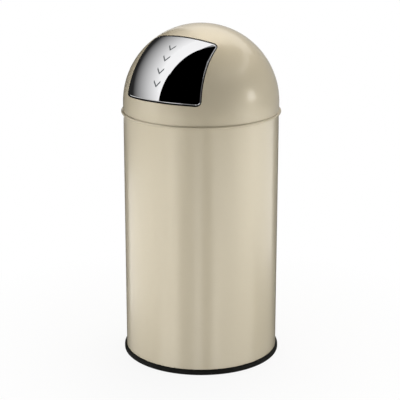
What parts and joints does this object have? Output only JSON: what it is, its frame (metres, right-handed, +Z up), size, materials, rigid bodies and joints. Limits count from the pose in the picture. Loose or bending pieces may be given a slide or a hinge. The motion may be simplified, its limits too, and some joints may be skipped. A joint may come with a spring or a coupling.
{
  "type": "dome-lid push bin",
  "caption": "Round steel bin with a rolled rim, a lift-off dome lid with a sprung push flap in its front, a lift-out liner with a bail, and a foot ring.",
  "frame": {"origin": "centre of the underside, on the floor at the can's axis", "axes": "+Z up along the can's axis; the flap faces -Y; +X is to the right of someone facing the flap"},
  "size_m": [0.35, 0.35, 0.743],
  "materials": {
    "cream_paint": "satin pearl lacquer",
    "foot_rubber": "satin",
    "zinc_steel": "zinc plated",
    "spring_steel": "bright drawn wire",
    "polished_steel": "mirror polished",
    "nylon": "moulded",
    "black_rubber": "matte",
    "galvanised_steel": "galvanised",
    "black_plastic": "moulded, fine texture"
  },
  "bodies": {
    "can": {"can_shell": "cream_paint", "can_base": "cream_paint", "foot_ring": "foot_rubber"},
    "liner": {"liner_wall": "galvanised_steel", "liner_base": "galvanised_steel", "bail_ear_left": "galvanised_steel", "bail_ear_right": "galvanised_steel", "ear_rivets": "zinc_steel"},
    "bail": {"bail_wire": "zinc_steel", "bail_grip": "black_plastic"},
    "lid": {"lid_dome": "cream_paint", "lid_collar": "cream_paint", "hinge_bracket_left": "zinc_steel", "hinge_bracket_right": "zinc_steel", "hinge_rod": "zinc_steel", "rod_caps": "zinc_steel", "spring_left": "spring_steel", "spring_right": "spring_steel"},
    "flap": {"flap_panel": "polished_steel", "flap_arm_left": "zinc_steel", "flap_arm_right": "zinc_steel", "arm_bushes": "nylon", "stop_buffers": "black_rubber"}
  },
  "joints": [
    {"name": "liner_lift", "type": "slide", "parent": "can", "child": "liner", "axis": [0, 0, 1], "range_m": [0, 0.55]},
    {"name": "lid_lift", "type": "slide", "parent": "liner", "child": "lid", "axis": [0, 0, 1], "range_m": [0, 0.15]},
    {"name": "flap_swing", "type": "hinge", "parent": "lid", "child": "flap", "pos_m": [0, -0.0478, 0.69902], "axis": [1, 0, 0], "range_deg": [0, 60], "stiffness_Nm_per_rad": 0.4, "springref_deg": -57.3, "deforming": ["spring_left", "spring_right"]},
    {"name": "bail_swing", "type": "hinge", "parent": "liner", "child": "bail", "pos_m": [0, 0, 0.5188], "axis": [1, 0, 0], "range_deg": [0, 90]}
  ]
}
